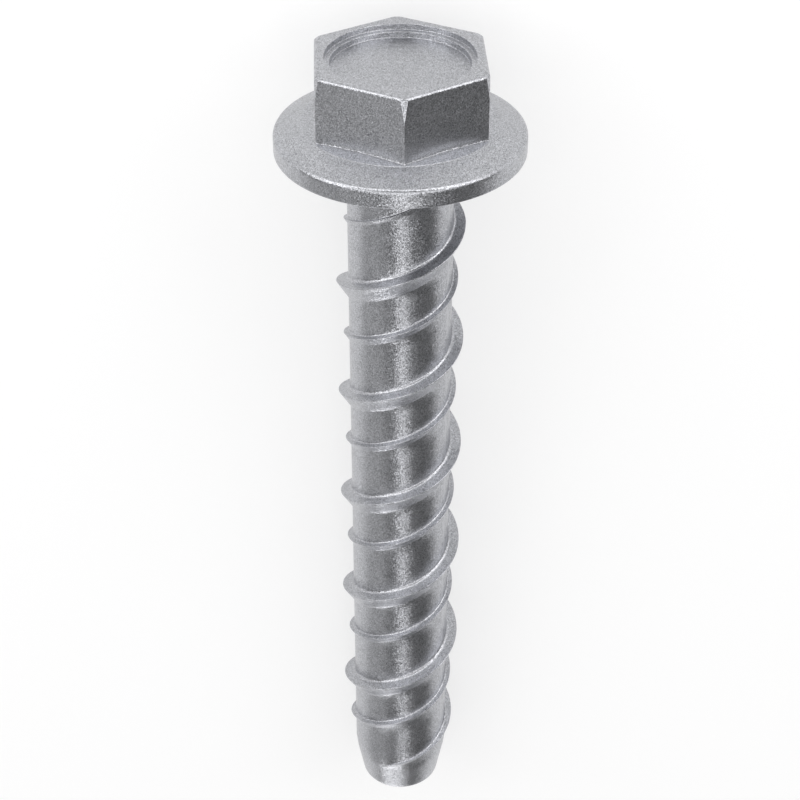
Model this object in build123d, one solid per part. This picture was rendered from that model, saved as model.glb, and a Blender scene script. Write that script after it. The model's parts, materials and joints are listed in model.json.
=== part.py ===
"""Concrete screw: flanged hex head, plain core and a two-start thread, lying as it comes to rest.

The screw is drawn upright about the Z axis, with the bearing face of its flange at Z = 0,
the hex above it and the shank below it. Angles are measured about Z from +X. The last step
lays it down on its flange rim and its outermost thread crest. Lengths are in millimetres.
"""

import math
import os

from build123d import *

# Hex and its recess
HEX_SIDES = 6
ACROSS_FLATS = 15.0
HEAD_HEIGHT = 8.9
HEX_ANGLE = 2.2
HEX_EDGE_ROUND = 0.3
CORNER_EASE_DEPTH = 0.2
CORNER_EASE_HEIGHT = 2.4
RECESS_DIAMETER = 13.3
RECESS_STEP_DEPTH = 0.56
RECESS_LEDGE_WIDTH = 0.48
RECESS_DEPTH = 1.12
RECESS_EDGE_CHAMFER = 0.12

# Flange
FLANGE_DIAMETER = 22.7
RIM_HEIGHT = 1.72
RIM_TOP_ROUND = 0.45
RIM_FOOT_ROUND = 0.12
SHOULDER_DIAMETER = 17.6
SHOULDER_HEIGHT = 2.76
SHOULDER_SLOPE = 8.0

# Core of the shank and its tip
CORE_DIAMETER = 9.74
SHANK_LENGTH = 77.5
TIP_LENGTH = 4.4
TIP_DIAMETER = 8.1
TIP_ROUND = 0.5
NECK_CHAMFER = 0.4

# The two ridges of the thread: a high one that cuts, and a low one that guides
LEAD = 12.4
HIGH_RIDGE_HEIGHT = 1.13
LOW_RIDGE_HEIGHT = 0.53
LOW_RIDGE_LEAD_SHARE = 0.535
FRONT_FLANK_ANGLE = 31.5
BACK_FLANK_ANGLE = 10.0
CREST_LAND = 0.08
RIDGE_ROOT_DEPTH = 0.8
THREAD_END_ANGLE = -109.0
THREAD_END_ABOVE_TIP = 4.2
THREAD_START_BELOW_HEAD = 2.5
END_HEIGHT_SHARE = 0.08
HIGH_HEAD_RUNOUT = 0.4
HIGH_TIP_RUNOUT = 0.5
LOW_HEAD_RUNOUT = 0.6
LOW_TIP_RUNOUT = 0.35
SECTIONS_PER_TURN = 16

# How the screw lies: the direction about its axis that faces the floor
UNDERSIDE_ANGLE = 88.0
QUARTER_TURN = 90.0


def flange_outline():
    """Half section of the flange: bearing face, upright rim, steep outer cone and flatter shoulder."""
    rim = FLANGE_DIAMETER / 2
    shoulder = SHOULDER_DIAMETER / 2
    peak = SHOULDER_HEIGHT + shoulder * math.tan(math.radians(SHOULDER_SLOPE))
    points = [(0, 0), (rim, 0), (rim, RIM_HEIGHT), (shoulder, SHOULDER_HEIGHT), (0, peak)]
    outline = make_face(Polyline(*points, close=True))
    corners = outline.vertices().sort_by(Axis.X)[-2:].sort_by(Axis.Y)
    outline = fillet(corners[0], RIM_FOOT_ROUND)
    top = outline.vertices().sort_by_distance((rim, RIM_HEIGHT))[0]
    return fillet(top, RIM_TOP_ROUND)


def flange():
    """The washer face and its domed top, turned about Z."""
    return revolve(Plane.XZ * flange_outline(), Axis.Z)


def recess_outline():
    """Half section of the recess in the head: a wall, a ledge, a second wall and a flat floor."""
    outer = RECESS_DIAMETER / 2
    inner = outer - RECESS_LEDGE_WIDTH
    step = HEAD_HEIGHT - RECESS_STEP_DEPTH
    floor = HEAD_HEIGHT - RECESS_DEPTH
    above = HEAD_HEIGHT + RECESS_DEPTH
    points = [(0, floor), (inner, floor), (inner, step), (outer, step), (outer, above), (0, above)]
    return make_face(Polyline(*points, close=True))


def recess():
    """The stepped round pocket that is pressed into the top of the head."""
    return revolve(Plane.XZ * recess_outline(), Axis.Z)


def corner_cone():
    """A slightly tapered cone that eases the hex corners near the top."""
    corner = ACROSS_FLATS / 2 / math.cos(math.pi / HEX_SIDES)
    start = HEAD_HEIGHT - CORNER_EASE_HEIGHT
    clear = corner + CORNER_EASE_DEPTH
    points = [
        (0, 0),
        (clear, 0),
        (clear, start),
        (corner, start),
        (corner - CORNER_EASE_DEPTH, HEAD_HEIGHT),
        (0, HEAD_HEIGHT),
    ]
    return revolve(Plane.XZ * make_face(Polyline(*points, close=True)), Axis.Z)


def hexagon():
    """The hex with rounded top edges, eased corners and the recess."""
    turn = HEX_ANGLE - QUARTER_TURN
    outline = RegularPolygon(ACROSS_FLATS / 2, HEX_SIDES, major_radius=False, rotation=turn)
    block = extrude(outline, HEAD_HEIGHT)
    block = fillet(block.faces().sort_by(Axis.Z)[-1].edges(), HEX_EDGE_ROUND)
    block = block & corner_cone()
    block = block - recess()
    circles = block.edges().filter_by(GeomType.CIRCLE)
    rims = circles.filter_by(lambda edge: edge.radius < ACROSS_FLATS / 2)
    return chamfer(rims.filter_by(on_recess_lip), RECESS_EDGE_CHAMFER)


def on_recess_lip(edge):
    """Whether a circle is the mouth of the recess or the inner edge of its ledge."""
    outer = RECESS_DIAMETER / 2
    at_mouth = abs(edge.radius - outer) < 1e-6 and abs(edge.center().Z - HEAD_HEIGHT) < 1e-6
    inner = outer - RECESS_LEDGE_WIDTH
    step = HEAD_HEIGHT - RECESS_STEP_DEPTH
    at_ledge = abs(edge.radius - inner) < 1e-6 and abs(edge.center().Z - step) < 1e-6
    return at_mouth or at_ledge


def head():
    """Hex and flange as one forging."""
    return flange() + hexagon()


def core_outline():
    """Half section of the core and its tapered, rounded tip."""
    core = CORE_DIAMETER / 2
    tip = TIP_DIAMETER / 2
    points = [
        (0, RIM_HEIGHT),
        (core, RIM_HEIGHT),
        (core, TIP_LENGTH - SHANK_LENGTH),
        (tip, -SHANK_LENGTH),
        (0, -SHANK_LENGTH),
    ]
    outline = make_face(Polyline(*points, close=True))
    edge = outline.vertices().sort_by_distance((tip, -SHANK_LENGTH))[0]
    return fillet(edge, TIP_ROUND)


def core():
    """The round core that both ridges stand on."""
    return revolve(Plane.XZ * core_outline(), Axis.Z)


def crest_height(angle):
    """Z of the high ridge's crest at an angle that counts up through the turns from the tip end."""
    end = THREAD_END_ABOVE_TIP - SHANK_LENGTH
    return end + LEAD * (angle - THREAD_END_ANGLE) / 360


def ridge_section(angle, crest_z, height):
    """One axial section of a ridge: a narrow crest, its two flanks and a root sunk into the core."""
    crest = CORE_DIAMETER / 2 + height
    root = CORE_DIAMETER / 2 - RIDGE_ROOT_DEPTH
    below = crest_z - CREST_LAND / 2
    above = crest_z + CREST_LAND / 2
    front = below - (crest - root) / math.tan(math.radians(FRONT_FLANK_ANGLE))
    back = above + (crest - root) * math.tan(math.radians(BACK_FLANK_ANGLE))
    spots = [(crest, below), (root, front), (root, back), (crest, above)]
    section = Wire.make_polygon([Vector(r, 0, z) for r, z in spots], close=True)
    return section.rotate(Axis.Z, angle)


def ridge(height, lift, head_runout, tip_runout):
    """One start of the thread, lofted through axial sections from its tip end to its head end.

    lift moves the crest up from the high ridge's helix. Over the run-outs, given in turns, the
    crest comes down almost to the core.
    """
    first = THREAD_END_ANGLE - 360 * lift / LEAD
    top = -THREAD_START_BELOW_HEAD - (THREAD_END_ABOVE_TIP - SHANK_LENGTH)
    turns = top / LEAD
    count = math.ceil(turns * SECTIONS_PER_TURN)
    sections = []
    for i in range(count + 1):
        turn = turns * i / count
        nearest = min(turn / tip_runout, (turns - turn) / head_runout)
        share = END_HEIGHT_SHARE + (1 - END_HEIGHT_SHARE) * min(1, nearest)
        angle = first + 360 * turn
        sections.append(ridge_section(angle, crest_height(angle) + lift, height * share))
    return Solid.make_loft(sections)


def high_ridge():
    """The high start, which cuts the concrete."""
    return ridge(HIGH_RIDGE_HEIGHT, 0, HIGH_HEAD_RUNOUT, HIGH_TIP_RUNOUT)


def low_ridge():
    """The low start, which runs about midway between the turns of the high one."""
    return ridge(LOW_RIDGE_HEIGHT, LOW_RIDGE_LEAD_SHARE * LEAD, LOW_HEAD_RUNOUT, LOW_TIP_RUNOUT)


def screw():
    """The whole screw, upright about Z, as one solid."""
    blank = head() + core()
    neck = blank.edges().filter_by(GeomType.CIRCLE).filter_by(lambda e: abs(e.center().Z) < 1e-6)
    blank = chamfer(neck.sort_by(lambda e: e.radius)[0], NECK_CHAMFER)
    return blank + high_ridge() + low_ridge()


def resting_lean():
    """Angle of the axis to the floor when flange rim and last high crest both touch it."""
    turns_up = math.ceil((THREAD_END_ANGLE + 360 * HIGH_TIP_RUNOUT - UNDERSIDE_ANGLE) / 360)
    reach = RIM_FOOT_ROUND + CREST_LAND / 2 - crest_height(UNDERSIDE_ANGLE + 360 * turns_up)
    crest = CORE_DIAMETER / 2 + HIGH_RIDGE_HEIGHT
    return math.degrees(math.atan((FLANGE_DIAMETER / 2 - crest) / reach))


def laid_down(part):
    """The part on its side, head towards +Y, on Z = 0 and centred over the origin."""
    rolled = Rot(Z=QUARTER_TURN - UNDERSIDE_ANGLE) * part
    lying = Rot(X=resting_lean() - QUARTER_TURN) * rolled
    box = lying.bounding_box()
    centre = box.center()
    return Pos(-centre.X, -centre.Y, -box.min.Z) * lying


os.makedirs("parts", exist_ok=True)
export_step(laid_down(screw()), "parts/concrete_screw.step")
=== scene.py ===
"""Concrete screw: its looks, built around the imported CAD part.

Lengths are in millimetres in the screw's own frame: x to the right in the photograph, y away
from its camera and z towards the head, with z = 0 on the bearing face of the flange. Angles are
in degrees about z from +x. ScrewPlace turns that frame into the row's, where the screw lies on
its side, head towards +Y.
"""

import json
import logging
import math
from dataclasses import dataclass
from enum import Enum

import bmesh
import bpy
from mathutils import Matrix, Vector


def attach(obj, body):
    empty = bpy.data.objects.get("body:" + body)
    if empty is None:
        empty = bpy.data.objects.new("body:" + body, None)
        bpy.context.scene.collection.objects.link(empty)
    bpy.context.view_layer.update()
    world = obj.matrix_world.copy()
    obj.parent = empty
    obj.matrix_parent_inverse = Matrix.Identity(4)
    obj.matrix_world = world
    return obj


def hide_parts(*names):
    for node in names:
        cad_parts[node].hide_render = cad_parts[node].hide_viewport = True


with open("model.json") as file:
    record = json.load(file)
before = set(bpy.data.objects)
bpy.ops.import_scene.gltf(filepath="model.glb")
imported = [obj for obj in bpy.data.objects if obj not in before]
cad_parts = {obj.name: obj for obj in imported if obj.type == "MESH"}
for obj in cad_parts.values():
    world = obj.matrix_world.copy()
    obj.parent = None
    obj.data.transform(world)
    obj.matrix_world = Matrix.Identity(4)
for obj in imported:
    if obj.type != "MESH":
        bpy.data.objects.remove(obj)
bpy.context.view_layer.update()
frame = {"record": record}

MM = 0.001
# Points closer than the first length are welded, and edges shorter than the second one removed.
WELD_MM = 1e-4
SLIVER_MM = 1e-5
# A right angle in radians, the turn from one corner of the hex to the next in degrees, and half
# of that turn in radians.
QUARTER = math.pi / 2
SIDE_TURN = 60
HALF_SIDE = math.radians(SIDE_TURN / 2)
# Sockets of a Mix node that mixes colours.
MIX_SHARE = 0
MIX_FIRST = 6
MIX_SECOND = 7
MIX_RESULT = 2
CAD_NODE = "concrete_screw"

log = logging.getLogger("concrete_screw")

Point = tuple[float, float]
Row = list[tuple[float, float, float]]


class Start(Enum):
    """The two starts of the thread."""

    HIGH = "high"
    LOW = "low"


def srgb(code: str) -> tuple[float, float, float, float]:
    """Turns an sRGB hex colour into linear RGBA.

    Args:
        code: Six hex digits after a hash sign.

    Returns:
        Red, green, blue and alpha 1, linear.
    """
    parts = [int(code[i : i + 2], 16) / 255 for i in (1, 3, 5)]
    linear = [c / 12.92 if c <= 0.04045 else ((c + 0.055) / 1.055) ** 2.4 for c in parts]
    return (linear[0], linear[1], linear[2], 1.0)


def per_metre(grain_mm: float) -> float:
    """Scale of a noise whose features are grain_mm wide."""
    return 1 / (grain_mm * MM)


def spread(first: float, last: float, shares: tuple[float, ...]) -> list[float]:
    """Values at the given shares of the way from first to last."""
    return [first + (last - first) * share for share in shares]


def bend_angles(turn: float, steps: int) -> list[float]:
    """Angles from 0 to turn, in radians, in equal steps."""
    return [turn * i / steps for i in range(steps + 1)]


def add_node(
    tree: bpy.types.NodeTree,
    kind: str,
    settings: dict[str, object] | None = None,
    links: dict[str | int, bpy.types.NodeSocket] | None = None,
) -> bpy.types.Node:
    """Adds a shader node with its settings and links.

    Args:
        tree: The node tree that takes the node.
        kind: The node's type name.
        settings: Values by attribute name, or by input name where the node has no such attribute.
        links: Output sockets by the name or number of the input that they go to.

    Returns:
        The new node.
    """
    node = tree.nodes.new(kind)
    for name, value in (settings or {}).items():
        if hasattr(node, name):
            setattr(node, name, value)
        else:
            node.inputs[name].default_value = value
    for name, output in (links or {}).items():
        tree.links.new(output, node.inputs[name])
    return node


@dataclass(frozen=True)
class ScrewPlace:
    """Where the screw lies in the row's frame, read from the record's bearing face.

    The face gives the place and the axis. The direction that faces the floor gives the turn.
    """

    mount: str = "bearing_face"
    underside_angle: float = 88.0
    middle_z: float = -34.0

    def matrix(self) -> Matrix:
        """Matrix from the screw's frame, in millimetres, to the row's, in metres.

        Returns:
            A rotation, a scale and a move in one.
        """
        face = next(m for m in frame["record"]["mounts"] if m["name"] == self.mount)
        head = -Vector(face["axis"]).normalized()
        across = Vector((1, 0, 0))
        turn = Matrix((across, head.cross(across), head)).transposed().to_4x4()
        roll = Matrix.Rotation(math.radians(90 - self.underside_angle), 4, "Z")
        return Matrix.Translation(Vector(face["pos_m"])) @ turn @ roll @ Matrix.Scale(MM, 4)

    def point(self, x: float, y: float, z: float) -> Vector:
        """Row position of a point of the screw's frame."""
        return self.matrix() @ Vector((x, y, z))

    def middle(self) -> Vector:
        """Row position of the middle of the screw's axis."""
        return self.point(0, 0, self.middle_z)


@dataclass(frozen=True)
class ZincFlakeCoating:
    """Zinc-flake coating, dipped and baked on hardened steel.

    The flakes lie at slightly different slants, so the metal looks matt and grainy: a blurred
    reflection breaks up into bright and dark grains.
    """

    name: str = "zinc_flake_coated_steel"
    colour: str = "#b7b8bc"
    dull_colour: str = "#abacb0"
    # Colour of the convex edges: rubbed wear and a painted highlight.
    worn_and_highlight_colour: str = "#bbbcc0"
    roughness: float = 0.3
    roughness_swing: float = 0.03
    # Real flakes are about 0.02 mm; drawn a little under the width of a pixel, which is what shows.
    flake_mm: float = 0.07
    flake_slant: float = 0.22
    flake_tone: float = 0.6
    # Runs and thin spots of the dip, a few millimetres wide.
    cloud_mm: float = 3.0
    cloud_detail: float = 3.0
    cloud_roughness: float = 0.6
    # Convex edges a little brighter: rubbed by the other screws in the box, and a painted highlight
    # on the rounds.
    wear_and_highlight_from: float = 0.56
    wear_and_highlight_to: float = 0.7

    def build(self) -> bpy.types.Material:
        """Makes the material.

        Returns:
            The finished node material.
        """
        material = bpy.data.materials.new(self.name)
        material.use_nodes = True
        tree = material.node_tree
        tree.nodes.clear()
        place = add_node(tree, "ShaderNodeTexCoord").outputs["Object"]
        surface = add_node(tree, "ShaderNodeNewGeometry").outputs
        flakes = add_node(
            tree, "ShaderNodeTexVoronoi", {"Scale": per_metre(self.flake_mm)}, {"Vector": place}
        ).outputs["Color"]
        clouds = add_node(
            tree,
            "ShaderNodeTexNoise",
            {
                "Scale": per_metre(self.cloud_mm),
                "Detail": self.cloud_detail,
                "Roughness": self.cloud_roughness,
            },
            {"Vector": place},
        ).outputs["Fac"]
        metal = add_node(
            tree,
            "ShaderNodeBsdfPrincipled",
            {"Metallic": 1.0},
            {
                "Base Color": self.tone(tree, flakes, clouds, surface["Pointiness"]),
                "Roughness": self.gloss(tree, clouds),
                "Normal": self.slants(tree, flakes, surface["Normal"]),
            },
        )
        add_node(tree, "ShaderNodeOutputMaterial", links={"Surface": metal.outputs[0]})
        return material

    def slants(
        self, tree: bpy.types.NodeTree, flakes: bpy.types.NodeSocket, facing: bpy.types.NodeSocket
    ) -> bpy.types.NodeSocket:
        """Turns each flake a little off the surface, each its own way.

        Args:
            tree: The material's node tree.
            flakes: A random colour for each flake.
            facing: The surface's normal.

        Returns:
            The flakes' normals.
        """
        # A random colour less its mean points any way.
        centred = add_node(tree, "ShaderNodeVectorMath", {"operation": "SUBTRACT"}, {0: flakes})
        centred.inputs[1].default_value = (0.5, 0.5, 0.5)
        slant = add_node(
            tree,
            "ShaderNodeVectorMath",
            {"operation": "SCALE", "Scale": self.flake_slant},
            {0: centred.outputs["Vector"]},
        )
        leaning = add_node(
            tree,
            "ShaderNodeVectorMath",
            {"operation": "ADD"},
            {0: facing, 1: slant.outputs["Vector"]},
        )
        unit = add_node(
            tree,
            "ShaderNodeVectorMath",
            {"operation": "NORMALIZE"},
            {0: leaning.outputs["Vector"]},
        )
        return unit.outputs["Vector"]

    def tone(
        self,
        tree: bpy.types.NodeTree,
        flakes: bpy.types.NodeSocket,
        clouds: bpy.types.NodeSocket,
        convex: bpy.types.NodeSocket,
    ) -> bpy.types.NodeSocket:
        """Mixes the coating's colour from clouds, flakes and edge wear with a painted highlight.

        Args:
            tree: The material's node tree.
            flakes: A random colour for each flake.
            clouds: Noise a few millimetres wide.
            convex: How much an edge stands out, 0.5 on flat surfaces.

        Returns:
            The base colour.
        """
        coat = add_node(tree, "ShaderNodeMix", {"data_type": "RGBA"}, {MIX_SHARE: clouds})
        coat.inputs[MIX_FIRST].default_value = srgb(self.dull_colour)
        coat.inputs[MIX_SECOND].default_value = srgb(self.colour)
        glint = add_node(
            tree,
            "ShaderNodeMapRange",
            {"To Min": 1 - self.flake_tone, "To Max": 1 + self.flake_tone},
            {"Value": flakes},
        )
        grain = add_node(
            tree,
            "ShaderNodeVectorMath",
            {"operation": "SCALE"},
            {0: coat.outputs[MIX_RESULT], "Scale": glint.outputs["Result"]},
        )
        # Brighter on convex edges: rubbed wear and a painted highlight.
        wear_and_highlight_mask = add_node(
            tree,
            "ShaderNodeMapRange",
            {"From Min": self.wear_and_highlight_from, "From Max": self.wear_and_highlight_to},
            {"Value": convex},
        )
        worn_and_highlit = add_node(
            tree,
            "ShaderNodeMix",
            {"data_type": "RGBA"},
            {MIX_SHARE: wear_and_highlight_mask.outputs["Result"], MIX_FIRST: grain.outputs["Vector"]},
        )
        worn_and_highlit.inputs[MIX_SECOND].default_value = srgb(self.worn_and_highlight_colour)
        return worn_and_highlit.outputs[MIX_RESULT]

    def gloss(self, tree: bpy.types.NodeTree, clouds: bpy.types.NodeSocket) -> bpy.types.NodeSocket:
        """Varies the roughness with the clouds.

        Args:
            tree: The material's node tree.
            clouds: Noise a few millimetres wide.

        Returns:
            The roughness.
        """
        low = self.roughness - self.roughness_swing
        high = self.roughness + self.roughness_swing
        swing = add_node(
            tree, "ShaderNodeMapRange", {"To Min": low, "To Max": high}, {"Value": clouds}
        )
        return swing.outputs["Result"]


@dataclass(frozen=True)
class Ridge:
    """One start of the thread.

    lead_share is how far its crest runs above the high one, as a share of a lead. The run-outs
    are in turns.
    """

    start: Start
    height: float
    lead_share: float
    head_runout: float
    tip_runout: float

    def share(self, turn: float, turns: float, end_share: float) -> float:
        """Share of the full height at a place along the ridge.

        Args:
            turn: Turns from the ridge's tip end.
            turns: Turns that the ridge has.
            end_share: Share of the height that is left where the ridge ends.

        Returns:
            A share from 0 to 1, and 0 beyond the ridge's ends.
        """
        if not 0 <= turn <= turns:
            return 0.0
        ramp = min(1.0, turn / self.tip_runout, (turns - turn) / self.head_runout)
        return end_share + (1 - end_share) * ramp


@dataclass(frozen=True)
class Thread:
    """The rolled two-start thread and the form of its ridges."""

    lead: float = 12.4
    end_angle: float = -109.0
    end_z: float = -73.3
    start_z: float = -2.5
    end_share: float = 0.08
    high: Ridge = Ridge(Start.HIGH, height=1.13, lead_share=0.0, head_runout=0.4, tip_runout=0.5)
    low: Ridge = Ridge(Start.LOW, height=0.53, lead_share=0.535, head_runout=0.6, tip_runout=0.35)
    front_flank: float = 31.5
    back_flank: float = 10.0
    # The crest's width, its eased edges and the root fillet, as shares of the ridge's height.
    land_share: float = 0.07
    edge_share: float = 0.03
    root_share: float = 0.3
    # Under this height a ridge keeps its width and only gets lower, so that it runs out smoothly.
    least_spread: float = 0.3
    # Rows of the mesh: on the front flank by shares of its height, on the crest's two eased
    # corners by edges along and down, and along the bare core by shares of its length.
    flank_rows: tuple[float, ...] = (0.35, 0.7)
    front_corner: Point = (0.3, 0.4)
    back_corner: Point = (0.6, 0.8)
    crest_front_share: float = 0.8
    crest_back_share: float = 0.2
    core_rows: tuple[float, ...] = (0.25, 0.5, 0.75)
    root_steps: int = 5

    @property
    def turns(self) -> float:
        """Turns that each ridge has."""
        return (self.start_z - self.end_z) / self.lead

    def front_side(self, tall: float) -> list[Point]:
        """Front half of a ridge's axial section, from its foot to its crest.

        Args:
            tall: Height of the crest over the core.

        Returns:
            Points of axial offset from the crest and height over the core.
        """
        size = max(tall, self.least_spread)
        flat = tall / size
        land = self.land_share * size
        edge = self.edge_share * size
        run = 1 / math.tan(math.radians(self.front_flank))
        heights = [edge, *[row * size for row in self.flank_rows], size - 2 * edge]
        foot = (-land - run * size - edge * run, 0.0)
        side = [(-land - run * (size - h), h) for h in heights]
        along, down = self.front_corner
        crest = [
            (-land - along * edge, size - down * edge),
            (-self.crest_front_share * land, size),
        ]
        return [(dz, dr * flat) for dz, dr in [foot, *side, *crest]]

    def back_side(self, tall: float) -> list[Point]:
        """Back half of a ridge's axial section, from its crest to the end of its root fillet.

        Args:
            tall: Height of the crest over the core.

        Returns:
            Points of axial offset from the crest and height over the core.
        """
        size = max(tall, self.least_spread)
        flat = tall / size
        edge = self.edge_share * size
        bend = self.root_share * size
        lean = math.tan(math.radians(self.back_flank))
        lift = lean * (size - bend)
        along, down = self.back_corner
        side = [
            (-self.crest_back_share * edge, size),
            (along * edge, size - down * edge),
            (lift / 2, (size + bend) / 2),
        ]
        root = [
            (lift + bend * (1 - math.cos(a)), bend * (1 - math.sin(a)))
            for a in bend_angles(QUARTER, self.root_steps)
        ]
        return [(dz, dr * flat) for dz, dr in side + root]

    def column(self, angle: float) -> list[Point]:
        """Section of the shank over one lead, from the high crest at an angle to the next one up.

        Args:
            angle: Angle that counts up through the turns, 0 on the first turn's +x.

        Returns:
            Points of z and height over the core. The next turn's crest itself is left out.
        """
        turn = (angle - self.end_angle) / 360
        z = self.end_z + self.lead * turn
        low_turn = turn + self.low.lead_share
        here = self.high.height * self.high.share(turn, self.turns, self.end_share)
        above = self.high.height * self.high.share(turn + 1, self.turns, self.end_share)
        small = self.low.height * self.low.share(low_turn, self.turns, self.end_share)
        low_z = z + self.low.lead_share * self.lead
        back = [(z + dz, dr) for dz, dr in self.back_side(here)]
        low = [(low_z + dz, dr) for dz, dr in self.front_side(small) + self.back_side(small)]
        front = [(z + self.lead + dz, dr) for dz, dr in self.front_side(above)]
        return back + self.plain(back[-1], low[0]) + low + self.plain(low[-1], front[0]) + front

    def plain(self, first: Point, last: Point) -> list[Point]:
        """Rows on the bare core between two ridges.

        Args:
            first: The point below them.
            last: The point above them.

        Returns:
            Evenly spaced points between the two.
        """
        return [(z, 0.0) for z in spread(first[0], last[0], self.core_rows)]


@dataclass(frozen=True)
class Shank:
    """The core with its thread, its neck under the flange and its tapered tip."""

    core_radius: float = 4.87
    length: float = 77.5
    tip_length: float = 4.4
    tip_radius: float = 4.05
    tip_round: float = 0.5
    neck_fillet: float = 0.4
    # The threaded stretch of the mesh, a little longer than the thread, and a row above it.
    thread_top: float = -1.5
    thread_foot: float = -74.2
    neck_row: float = -0.9
    flat_rows: tuple[float, ...] = (0.25, 0.5, 0.75, 0.95)
    cone_rows: tuple[float, ...] = (0.1, 0.4, 0.7, 1.0)
    tip_steps: int = 8
    neck_steps: int = 6
    thread: Thread = Thread()

    def radius(self, z: float) -> float:
        """Radius of the bare core, which tapers towards the tip.

        Args:
            z: Height in the screw's frame.

        Returns:
            The radius at that height.
        """
        into_tip = max(0.0, self.tip_length - self.length - z) / self.tip_length
        return self.core_radius + (self.tip_radius - self.core_radius) * into_tip

    def wound_rows(self, angles: list[float]) -> list[Row]:
        """Columns of the threaded stretch, one after the other along the helix.

        Args:
            angles: The column angles of one turn, rising.

        Returns:
            Rows of radius, angle and z, each one lead high, held to the stretch's two ends.
        """
        per_turn = 360 / self.thread.lead
        below = self.thread_foot - self.thread.lead - self.thread.end_z
        above = self.thread_top - self.thread.end_z
        first = self.thread.end_angle + below * per_turn
        last = self.thread.end_angle + above * per_turn
        turns = range(math.floor(first / 360) - 1, math.ceil(last / 360) + 2)
        rows = []
        for turn in turns:
            for angle in angles:
                column = self.thread.column(angle + 360 * turn)
                rows.append([self.held(angle, z, over) for z, over in column])
        return rows

    def held(self, angle: float, z: float, over: float) -> tuple[float, float, float]:
        """One point of the threaded stretch, moved onto its end where it lies beyond it.

        Args:
            angle: The column's angle.
            z: The point's height.
            over: How far it stands over the core.

        Returns:
            Radius, angle and z.
        """
        inside = min(max(z, self.thread_foot), self.thread_top)
        return (self.radius(inside) + over, angle, inside)

    def tip_outline(self) -> list[Point]:
        """Outline of the tip, from the axis out and up to the threaded stretch.

        Returns:
            Points of radius and z.
        """
        slope = math.atan((self.core_radius - self.tip_radius) / self.tip_length)
        turn = QUARTER - slope
        reach = self.tip_round * math.tan(turn / 2)
        centre = (self.tip_radius - reach, self.tip_round - self.length)
        arc = [
            (centre[0] + self.tip_round * math.sin(a), centre[1] - self.tip_round * math.cos(a))
            for a in bend_angles(turn, self.tip_steps)
        ]
        flat = [(centre[0] * share, -self.length) for share in self.flat_rows]
        heights = spread(arc[-1][1], self.thread_foot, self.cone_rows)
        return flat + arc + [(self.radius(z), z) for z in heights]

    def neck_outline(self) -> list[Point]:
        """Outline of the neck from the threaded stretch to the bearing face.

        Returns:
            Points of radius and z.
        """
        centre = (self.core_radius + self.neck_fillet, -self.neck_fillet)
        arc = [
            (centre[0] - self.neck_fillet * math.cos(a), centre[1] + self.neck_fillet * math.sin(a))
            for a in bend_angles(QUARTER, self.neck_steps)
        ]
        return [(self.core_radius, self.thread_top), (self.core_radius, self.neck_row)] + arc


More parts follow.
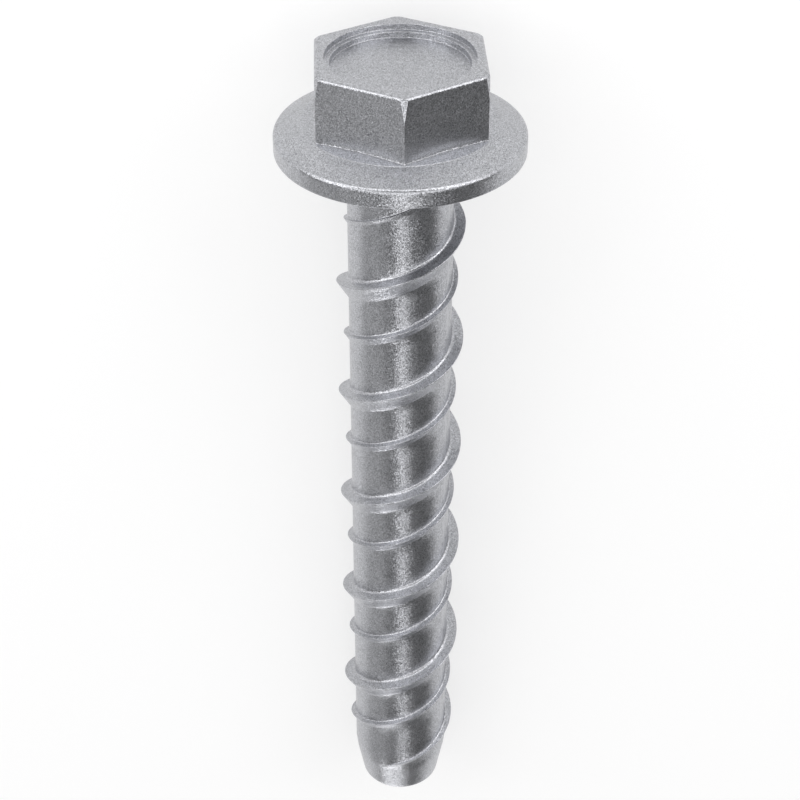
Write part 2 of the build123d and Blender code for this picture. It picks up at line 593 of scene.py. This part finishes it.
@dataclass(frozen=True)
class Head:
    """The flange and the hex with its stepped recess, forged in one."""

    flange_radius: float = 11.35
    rim_height: float = 1.72
    rim_top_round: float = 0.45
    rim_foot_round: float = 0.12
    shoulder_radius: float = 8.8
    shoulder_height: float = 2.76
    shoulder_slope: float = 8.0
    # The fine raised line that the forging die leaves where the flange's two slopes meet.
    die_line_width: float = 0.14
    die_line_height: float = 0.006
    across_flats: float = 15.0
    hex_angle: float = 2.2
    height: float = 8.9
    side_edge_round: float = 0.06
    top_edge_round: float = 0.3
    foot_blend: float = 0.1
    ease_depth: float = 0.2
    ease_height: float = 2.4
    recess_radius: float = 6.65
    recess_step: float = 0.56
    recess_ledge: float = 0.48
    recess_depth: float = 1.12
    recess_round: float = 0.07
    # Columns of the mesh from a corner of the hex, in degrees: close together, then even.
    near_corner: tuple[float, ...] = (
        0.0, 0.17, 0.34, 0.5, 0.7, 1.0, 1.3, 1.6, 1.9, 2.2, 2.5, 3.0, 4.0
    )
    even_from: int = 6
    even_step: int = 2
    # Rows of the mesh along each stretch, as shares of it. Those near an end keep the shading
    # flat between them.
    face_rows: tuple[float, ...] = (0.04, 0.3, 0.65, 0.98, 1.0)
    short_rows: tuple[float, ...] = (0.08, 0.5, 0.92)
    slope_rows: tuple[float, ...] = (0.05, 0.3, 0.6, 0.9)
    low_side_rows: tuple[float, ...] = (0.05, 0.35, 0.65, 0.9, 1.0)
    high_side_rows: tuple[float, ...] = (0.15, 0.5, 0.85, 1.0)
    floor_rows: tuple[float, ...] = (0.93, 0.75, 0.5, 0.25)
    blend_row: float = 0.3
    # The least that is left of a side's stretch below and above the cone's start.
    low_side_least: float = 1.0
    high_side_least: float = 0.06
    foot_steps: int = 4
    rim_steps: int = 8
    top_steps: int = 6
    recess_steps: int = 4

    @property
    def first_corner(self) -> float:
        """Direction of the hex's corner that faces the camera."""
        return self.hex_angle - 90

    @property
    def corner_radius(self) -> float:
        """Distance of the hex's sharp corners from the axis."""
        return self.across_flats / 2 / math.cos(HALF_SIDE)

    def column_angles(self) -> list[float]:
        """Angles of the mesh's columns over one turn, closer together near the hex's corners.

        Returns:
            Rising angles.
        """
        even = range(self.even_from, SIDE_TURN - self.even_from + 1, self.even_step)
        far = [SIDE_TURN - a for a in reversed(self.near_corner[1:])]
        sector = [*self.near_corner, *even, *far]
        corners = [self.first_corner + turn for turn in range(0, 360, SIDE_TURN)]
        return [corner + a for corner in corners for a in sector]

    def from_corner(self, angle: float) -> float:
        """Angle to the nearest corner of the hex, from 0 to 30 degrees."""
        past = (angle - self.first_corner) % SIDE_TURN
        return min(past, SIDE_TURN - past)

    def hex_radius(self, angle: float) -> float:
        """Distance of the hex's side from the axis, with its upright edges rounded.

        Args:
            angle: Direction about the axis.

        Returns:
            The radius of the side face there.
        """
        past = math.radians(self.from_corner(angle))
        bend = self.side_edge_round
        centre = (self.across_flats / 2 - bend) / math.cos(HALF_SIDE)
        tangent = math.atan2(bend * math.sin(HALF_SIDE), centre + bend * math.cos(HALF_SIDE))
        if past < tangent:
            return centre * math.cos(past) + math.sqrt(bend**2 - (centre * math.sin(past)) ** 2)
        return self.across_flats / 2 / math.cos(HALF_SIDE - past)

    def ease_start(self, angle: float) -> float:
        """Height at which the cone that eases the corners starts to cut the side.

        Args:
            angle: Direction about the axis.

        Returns:
            A height, beyond the hex's top where the cone passes outside it.
        """
        cut = (self.corner_radius - self.hex_radius(angle)) / self.ease_depth
        return self.height - self.ease_height * (1 - cut)

    def side_radius(self, angle: float, z: float) -> float:
        """Distance of the eased side from the axis.

        Args:
            angle: Direction about the axis.
            z: Height.

        Returns:
            The smaller of the hex's and the cone's radius.
        """
        into = max(0.0, 1 - (self.height - z) / self.ease_height)
        return min(self.hex_radius(angle), self.corner_radius - self.ease_depth * into)

    def shoulder_z(self, radius: float) -> float:
        """Height of the flange's inner slope at a radius."""
        rise = math.tan(math.radians(self.shoulder_slope))
        return self.shoulder_height + (self.shoulder_radius - radius) * rise

    def flange_outline(self, inner: float) -> list[Point]:
        """Outline of the flange from the neck, round its rim and in to the shoulder.

        Args:
            inner: Radius at which the bearing face starts.

        Returns:
            Points of radius and z.
        """
        rim = self.flange_radius
        foot = self.rim_foot_round
        face = [(radius, 0.0) for radius in spread(inner, rim - foot, self.face_rows)]
        foot_arc = [
            (rim - foot + foot * math.sin(a), foot - foot * math.cos(a))
            for a in bend_angles(QUARTER, self.foot_steps)[1:]
        ]
        drop = rim - self.shoulder_radius
        slope = math.atan2(self.shoulder_height - self.rim_height, drop)
        turn = QUARTER - slope
        bend = self.rim_top_round
        top_start = self.rim_height - bend * math.tan(turn / 2)
        wall = [(rim, z) for z in spread(foot, top_start, self.short_rows)]
        arc = [
            (rim - bend + bend * math.cos(a), top_start + bend * math.sin(a))
            for a in bend_angles(turn, self.rim_steps)
        ]
        end_r, end_z = arc[-1]
        radii = spread(end_r, self.shoulder_radius, self.slope_rows)
        heights = spread(end_z, self.shoulder_height, self.slope_rows)
        cone = list(zip(radii, heights))
        half = self.die_line_width / 2
        line = [
            (self.shoulder_radius + half, self.shoulder_height - half * math.tan(slope)),
            (self.shoulder_radius + half / 2, self.shoulder_height + self.die_line_height),
            (self.shoulder_radius - half / 2, self.shoulder_height + self.die_line_height),
            (self.shoulder_radius - half, self.shoulder_z(self.shoulder_radius - half)),
        ]
        return face + foot_arc + wall + arc + cone + line

    def hex_outline(self, angle: float) -> list[Point]:
        """Outline of the hex at a direction, from its foot over its top edge to the recess.

        Args:
            angle: Direction about the axis.

        Returns:
            Points of radius and z.
        """
        foot_r = self.hex_radius(angle)
        foot_z = self.shoulder_z(foot_r)
        blend = self.foot_blend
        foot = [
            (foot_r + blend, self.shoulder_z(foot_r + blend)),
            (foot_r + self.blend_row * blend, foot_z + self.blend_row * blend),
            (foot_r, foot_z + blend),
        ]
        bend = self.top_edge_round
        top = self.height - bend
        lowest = foot_z + self.low_side_least
        cut = min(max(self.ease_start(angle), lowest), top - self.high_side_least)
        low = spread(foot_z + blend, cut, self.low_side_rows)
        high = spread(cut, top, self.high_side_rows)
        side = [(self.side_radius(angle, z), z) for z in low + high]
        inward = bend / math.cos(HALF_SIDE - math.radians(self.from_corner(angle)))
        edge = self.side_radius(angle, top)
        arc = [
            (edge - inward * (1 - math.cos(a)), top + bend * math.sin(a))
            for a in bend_angles(QUARTER, self.top_steps)[1:]
        ]
        mouth = self.recess_radius + self.recess_round
        land = [(radius, self.height) for radius in spread(arc[-1][0], mouth, self.short_rows)]
        return foot + side + arc + land

    def recess_outline(self) -> list[Point]:
        """Outline of the recess from its mouth in to near the axis.

        Returns:
            Points of radius and z.
        """
        inner = self.recess_radius - self.recess_ledge
        upper = self.step_outline(self.recess_radius, self.height, self.recess_step)
        ledge = self.height - self.recess_step
        lower = self.step_outline(inner, ledge, self.recess_depth - self.recess_step)
        floor = self.height - self.recess_depth
        middle = [(inner * share, floor) for share in self.floor_rows]
        return upper + lower + middle

    def step_outline(self, radius: float, top: float, depth: float) -> list[Point]:
        """Outline of one step of the recess: rounded lip, wall and blended foot.

        Args:
            radius: Radius of the wall.
            top: Height of the surface above it.
            depth: How far the wall goes down.

        Returns:
            Points of radius and z.
        """
        bend = self.recess_round
        floor = top - depth
        angles = bend_angles(QUARTER, self.recess_steps)
        bends = [(bend * (1 - math.sin(a)), bend * (1 - math.cos(a))) for a in angles]
        lip = [(radius + long, top - short) for long, short in bends]
        foot = [(radius - short, floor + long) for long, short in bends]
        return lip + foot


class ScrewMesh:
    """Collects columns and rings of the screw and welds them into one closed mesh."""

    def __init__(self) -> None:
        """Starts with no vertices and no faces."""
        self.vertices: list[Vector] = []
        self.faces: list[tuple[int, ...]] = []

    def add(self, radius: float, angle: float, z: float) -> int:
        """Adds a vertex given in cylinder coordinates.

        Args:
            radius: Distance from the axis.
            angle: Direction about the axis.
            z: Height.

        Returns:
            The vertex's number.
        """
        turn = math.radians(angle)
        self.vertices.append(Vector((radius * math.cos(turn), radius * math.sin(turn), z)))
        return len(self.vertices) - 1

    def wind(self, rows: list[Row], per_turn: int) -> None:
        """Joins columns along the helix, each topped by the first point of the column a turn on.

        Args:
            rows: The columns in order along the helix.
            per_turn: How many of them make one turn.
        """
        numbers = [[self.add(*point) for point in row] for row in rows]
        for i in range(len(rows) - per_turn - 1):
            left = [*numbers[i], numbers[i + per_turn][0]]
            right = [*numbers[i + 1], numbers[i + 1 + per_turn][0]]
            for j in range(len(left) - 1):
                self.faces.append((left[j], right[j], right[j + 1], left[j + 1]))

    def turn(self, outlines: list[list[Point]], angles: list[float]) -> None:
        """Joins outlines round the axis, one for each column angle.

        Args:
            outlines: Points of radius and z for each angle, the same number for each.
            angles: The column angles of one turn.
        """
        numbers = [
            [self.add(radius, angle, z) for radius, z in outline]
            for outline, angle in zip(outlines, angles)
        ]
        for i in range(len(angles)):
            left = numbers[i]
            right = numbers[(i + 1) % len(angles)]
            for j in range(len(left) - 1):
                self.faces.append((left[j], right[j], right[j + 1], left[j + 1]))

    def close(self, angles: list[float], radius: float, z: float, upward: bool) -> None:
        """Closes a round opening with a fan about the axis.

        Args:
            angles: The column angles of one turn.
            radius: Radius of the opening.
            z: Its height.
            upward: Whether the fan faces towards the head.
        """
        centre = self.add(0, 0, z)
        ring = [self.add(radius, angle, z) for angle in angles]
        for i in range(len(ring)):
            pair = (ring[i], ring[(i + 1) % len(ring)])
            self.faces.append((centre, *pair) if upward else (centre, pair[1], pair[0]))

    def weld(self, name: str, place: Matrix) -> bpy.types.Object:
        """Welds what was collected and makes it an object.

        Args:
            name: The object's name.
            place: Matrix that takes the vertices to the row's frame.

        Returns:
            The object, in the scene's collection.
        """
        data = bpy.data.meshes.new(name)
        data.from_pydata(self.vertices, [], self.faces)
        form = bmesh.new()
        form.from_mesh(data)
        bmesh.ops.remove_doubles(form, verts=form.verts, dist=WELD_MM)
        bmesh.ops.dissolve_degenerate(form, dist=SLIVER_MM, edges=form.edges)
        loose = [v for v in form.verts if not v.link_faces]
        bmesh.ops.delete(form, geom=loose, context="VERTS")
        form.transform(place)
        bmesh.ops.recalc_face_normals(form, faces=form.faces)
        form.to_mesh(data)
        form.free()
        piece = bpy.data.objects.new(name, data)
        bpy.context.scene.collection.objects.link(piece)
        return piece


@dataclass
class ConcreteScrew:
    """The whole screw: one forged and rolled piece of steel."""

    shank: Shank = Shank()
    head: Head = Head()
    finish: ZincFlakeCoating = ZincFlakeCoating()
    name: str = "screw"
    # Just over the steps of the smallest rounds, which are 22.5 degrees each.
    crease_angle: float = 24.0

    def build(self, place: ScrewPlace) -> bpy.types.Object:
        """Builds the mesh, from the tip through the thread to the recess.

        Args:
            place: Where the screw lies.

        Returns:
            The piece that stands for the CAD node.
        """
        for ridge in (self.shank.thread.high, self.shank.thread.low):
            log.info("thread: %s start, %.2f mm high", ridge.start.value, ridge.height)
        angles = self.head.column_angles()
        mesh = ScrewMesh()
        tip = self.shank.tip_outline()
        mesh.close(angles, tip[0][0], tip[0][1], upward=False)
        mesh.turn([tip] * len(angles), angles)
        mesh.wind(self.shank.wound_rows(angles), len(angles))
        neck = self.shank.neck_outline()
        flange = self.head.flange_outline(neck[-1][0])
        recess = self.head.recess_outline()
        outlines = [neck + flange + self.head.hex_outline(angle) + recess for angle in angles]
        mesh.turn(outlines, angles)
        mesh.close(angles, recess[-1][0], recess[-1][1], upward=True)
        piece = mesh.weld(self.name, place.matrix())
        piece.data.shade_smooth()
        piece.data.set_sharp_from_angle(angle=math.radians(self.crease_angle))
        normals = piece.modifiers.new("flat_sides", "WEIGHTED_NORMAL")
        normals.keep_sharp = True
        return piece

    def dress(self, piece: bpy.types.Object) -> None:
        """Gives the piece its coating and sets it on the frame.

        Args:
            piece: The mesh from build.
        """
        piece.data.materials.append(self.finish.build())
        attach(piece, "root")
        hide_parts(CAD_NODE)


@dataclass(frozen=True)
class AreaLamp:
    """A soft light aimed at the screw's middle.

    azimuth counts from the screw's right towards its head and elevation from the floor, as the
    screw lies. level is how bright the lamp looks, 1 being white.
    """

    name: str
    azimuth: float
    elevation: float
    width: float
    height: float
    level: float
    distance: float = 460.0
    colour: str = "#ffffff"

    def build(self, place: ScrewPlace) -> bpy.types.Object:
        """Makes the lamp.

        Args:
            place: Where the screw lies.

        Returns:
            The lamp's object.
        """
        light = bpy.data.lights.new(self.name, "AREA")
        light.shape = "RECTANGLE"
        light.size = self.width * MM
        light.size_y = self.height * MM
        # The power at which a lamp of this size looks as bright as its level.
        light.energy = self.level * math.pi * light.size * light.size_y
        light.color = srgb(self.colour)[:3]
        lamp = bpy.data.objects.new(self.name, light)
        around = math.radians(self.azimuth)
        rise = math.radians(self.elevation)
        across = math.cos(rise)
        away = Vector((across * math.cos(around), across * math.sin(around), math.sin(rise)))
        lamp.location = place.middle() + away * self.distance * MM
        lamp.rotation_mode = "QUATERNION"
        lamp.rotation_quaternion = (-away).to_track_quat("-Z", "Y")
        bpy.context.scene.collection.objects.link(lamp)
        return lamp


@dataclass(frozen=True)
class Studio:
    """Plain pale floor, soft lamps and a plain surround."""

    floor_colour: str = "#fafafa"
    floor_size: float = 9000.0
    # How much of the floor's white is its own. The rest is lit, and takes the shadow.
    glow_share: float = 0.55
    surround_level: float = 0.15
    surround_colour: str = "#ffffff"
    # Name, azimuth, elevation, width, height and level of each lamp. Seen from the camera, the
    # overhead one lights the rim's edge and the roots of the ridges, the three at the head the
    # steep sides of the ridges and the foot of the hex, tip_low the long sides of the ridges,
    # tip_strip the band down the core, and tip_left the left side of the hex.
    lamps: tuple[AreaLamp, ...] = (
        AreaLamp("overhead", 90, 88, 860, 340, 1.4),
        AreaLamp("head_left", 143, 27, 440, 340, 2.1),
        AreaLamp("head_right", 38, 25, 420, 330, 2.2),
        AreaLamp("head_end", 88, 25, 420, 200, 2.1),
        AreaLamp("tip_low", -98, 9, 230, 120, 3.0),
        AreaLamp("tip_strip", -81, 54.5, 110, 320, 1.75),
        AreaLamp("tip_left", -142, 24, 340, 360, 0.42),
    )

    def build(self, place: ScrewPlace) -> None:
        """Makes the floor, the lamps and the world.

        Args:
            place: Where the screw lies.
        """
        self.floor()
        for lamp in self.lamps:
            lamp.build(place)
        self.surround()
        log.info("studio: floor, %d lamps and surround", len(self.lamps))

    def floor(self) -> bpy.types.Object:
        """Makes the floor, which glows to the camera, in metal and through glass, and takes shadow.

        Returns:
            The floor's object.
        """
        half = self.floor_size * MM / 2
        data = bpy.data.meshes.new("floor")
        corners = [(-half, -half, 0), (half, -half, 0), (half, half, 0), (-half, half, 0)]
        data.from_pydata(corners, [], [(0, 1, 2, 3)])
        floor = bpy.data.objects.new("floor", data)
        bpy.context.scene.collection.objects.link(floor)
        # Uncoated board, rolled from paper pulp: matt white, with no gloss and no grain to see.
        material = bpy.data.materials.new("matt_white_board")
        material.use_nodes = True
        tree = material.node_tree
        tree.nodes.clear()
        rays = add_node(tree, "ShaderNodeLightPath").outputs
        mirrored = add_node(
            tree,
            "ShaderNodeMath",
            {"operation": "MAXIMUM"},
            {0: rays["Is Glossy Ray"], 1: rays["Is Transmission Ray"]},
        )
        seen = add_node(
            tree,
            "ShaderNodeMath",
            {"operation": "MAXIMUM"},
            {0: rays["Is Camera Ray"], 1: mirrored.outputs[0]},
        )
        glow = add_node(tree, "ShaderNodeMath", {"operation": "MULTIPLY"}, {0: seen.outputs[0]})
        glow.inputs[1].default_value = self.glow_share
        board = add_node(tree, "ShaderNodeBsdfDiffuse", {"Color": srgb(self.floor_colour)})
        # A strength of 1 is white.
        light = add_node(tree, "ShaderNodeEmission", {"Strength": 1.0})
        both = add_node(
            tree,
            "ShaderNodeMixShader",
            links={0: glow.outputs[0], 1: board.outputs[0], 2: light.outputs[0]},
        )
        add_node(tree, "ShaderNodeOutputMaterial", links={"Surface": both.outputs[0]})
        data.materials.append(material)
        return floor

    def surround(self) -> None:
        """Makes the world, a plain grey that lifts the darkest reflections a little."""
        world = bpy.data.worlds.new("surround")
        bpy.context.scene.world = world
        world.use_nodes = True
        tree = world.node_tree
        tree.nodes.clear()
        sky = add_node(
            tree,
            "ShaderNodeBackground",
            {"Color": srgb(self.surround_colour), "Strength": self.surround_level},
        )
        add_node(tree, "ShaderNodeOutputWorld", links={"Surface": sky.outputs[0]})


@dataclass(frozen=True)
class PhotoCamera:
    """Camera at the photograph's angle, found from the flange's and hex's outlines there."""

    elevation: float = 35.07
    distance: float = 183.57
    aim_x: float = -0.04
    aim_z: float = -27.58
    focal_px: float = 1878.0
    image_px: float = 800.0
    sensor: float = 36.0
    nearest: float = 10.0
    farthest: float = 20000.0

    def build(self, place: ScrewPlace) -> bpy.types.Object:
        """Makes the camera and sets it as the scene's.

        Args:
            place: Where the screw lies.

        Returns:
            The camera's object.
        """
        data = bpy.data.cameras.new("photo_camera")
        data.sensor_width = self.sensor
        data.lens = self.focal_px * self.sensor / self.image_px
        data.clip_start = self.nearest * MM
        data.clip_end = self.farthest * MM
        rise = math.radians(self.elevation)
        away = self.distance * math.cos(rise)
        spot = place.point(self.aim_x, -away, self.aim_z + self.distance * math.sin(rise))
        aim = place.point(self.aim_x, 0, self.aim_z)
        above = place.point(self.aim_x, 0, 0) - aim
        back = (spot - aim).normalized()
        right = above.cross(back).normalized()
        camera = bpy.data.objects.new("photo_camera", data)
        turn = Matrix((right, back.cross(right), back)).transposed().to_4x4()
        camera.matrix_world = Matrix.Translation(spot) @ turn
        bpy.context.scene.collection.objects.link(camera)
        bpy.context.scene.camera = camera
        log.info("camera: %.1f mm lens, %.0f mm from the screw", data.lens, self.distance)
        return camera


def main() -> None:
    """Builds the screw, the studio and the camera, in that order."""
    logging.basicConfig(level=logging.INFO, format="%(name)s: %(message)s")
    bpy.context.scene.view_settings.view_transform = "Standard"
    place = ScrewPlace()
    screw = ConcreteScrew()
    piece = screw.build(place)
    screw.dress(piece)
    log.info("screw: %d faces, one piece", len(piece.data.polygons))
    Studio().build(place)
    PhotoCamera().build(place)


if __name__ == "__main__":
    main()
